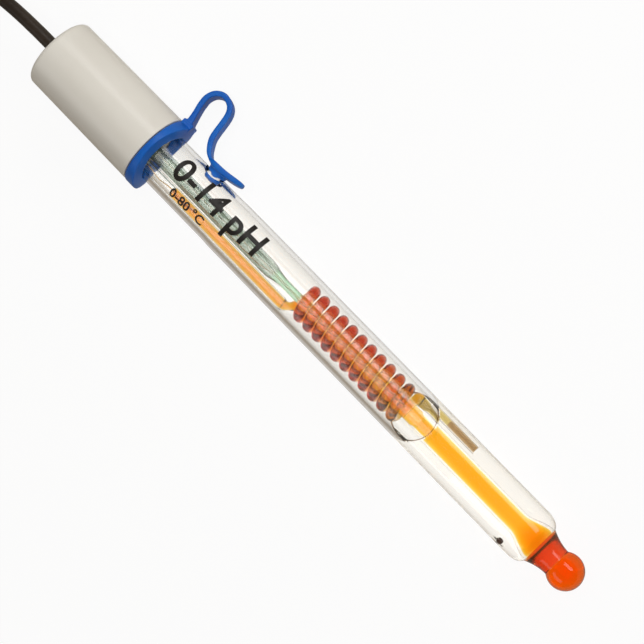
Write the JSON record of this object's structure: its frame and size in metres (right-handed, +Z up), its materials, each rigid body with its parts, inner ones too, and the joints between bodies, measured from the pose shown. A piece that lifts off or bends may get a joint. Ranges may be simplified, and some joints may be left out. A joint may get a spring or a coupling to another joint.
{
  "type": "ph electrode",
  "caption": "Glass combination pH electrode with a coiled reference cell in sight, a fill hole cover on a looped strap, and a lead that ends in a bayonet plug.",
  "frame": {"origin": "bottom centre of the box round the electrode as it lies, without its free cable", "axes": "+X along the electrode towards the bulb, +Y to the side where the strap stands out, +Z up"},
  "size_m": [0.3257, 0.0282, 0.0178],
  "materials": {
    "cap_plastic": "satin moulded",
    "gland_rubber": "satin",
    "potting_resin": "cast",
    "cable_jacket": "satin extruded",
    "splice_sleeve": "satin",
    "clear_glass": "polished",
    "bulb_glass": "polished",
    "lead_glass": "polished",
    "porous_junction": "ground ceramic",
    "orange_solution": "liquid",
    "reference_liquid": "liquid",
    "clear_solution": "liquid",
    "thin_wire": "drawn",
    "blue_elastomer": "satin moulded",
    "tie_plastic": "satin",
    "boot_rubber": "satin",
    "plated_metal": "nickel plated",
    "gold_contact": "gold plated",
    "white_insulator": "satin",
    "seal_rubber": "matt"
  },
  "bodies": {
    "electrode": {"cap": "cap_plastic", "cap_potting": "potting_resin", "cable_gland": "gland_rubber", "cable_end": "cable_jacket", "signal_splice": "splice_sleeve", "reference_splice": "splice_sleeve", "outer_tube": "clear_glass", "junction_plug": "porous_junction", "inner_stem": "clear_glass", "ph_bulb": "bulb_glass", "inner_solution": "orange_solution", "lead_tube": "lead_glass", "lead_wire": "thin_wire", "reference_cell": "clear_glass", "reference_solution": "reference_liquid", "reference_wire": "thin_wire", "fill_solution": "clear_solution", "cover_band": "blue_elastomer", "cable_lead": "cable_jacket", "cable_coil": "cable_jacket", "coil_tie": "tie_plastic", "cable_tail": "cable_jacket", "connector_boot": "boot_rubber", "crimp_ferrule": "plated_metal", "connector_body": "plated_metal", "connector_insulator": "white_insulator", "centre_contact": "gold_contact", "connector_gasket": "seal_rubber"},
    "stopper_flap": {"cover_stopper": "blue_elastomer"},
    "collar": {"coupling_collar": "plated_metal"}
  },
  "joints": [
    {"name": "flap_hinge", "type": "hinge", "parent": "electrode", "child": "stopper_flap", "pos_m": [-0.03699, 0.00145, 0.00601], "axis": [0.0226, 0.3458, 0.938], "range_deg": [0, 60]},
    {"name": "collar_spin", "type": "hinge", "parent": "electrode", "child": "collar", "pos_m": [-0.23797, -0.00621, 0.00725], "axis": [-1, 0, 0], "continuous": true}
  ]
}
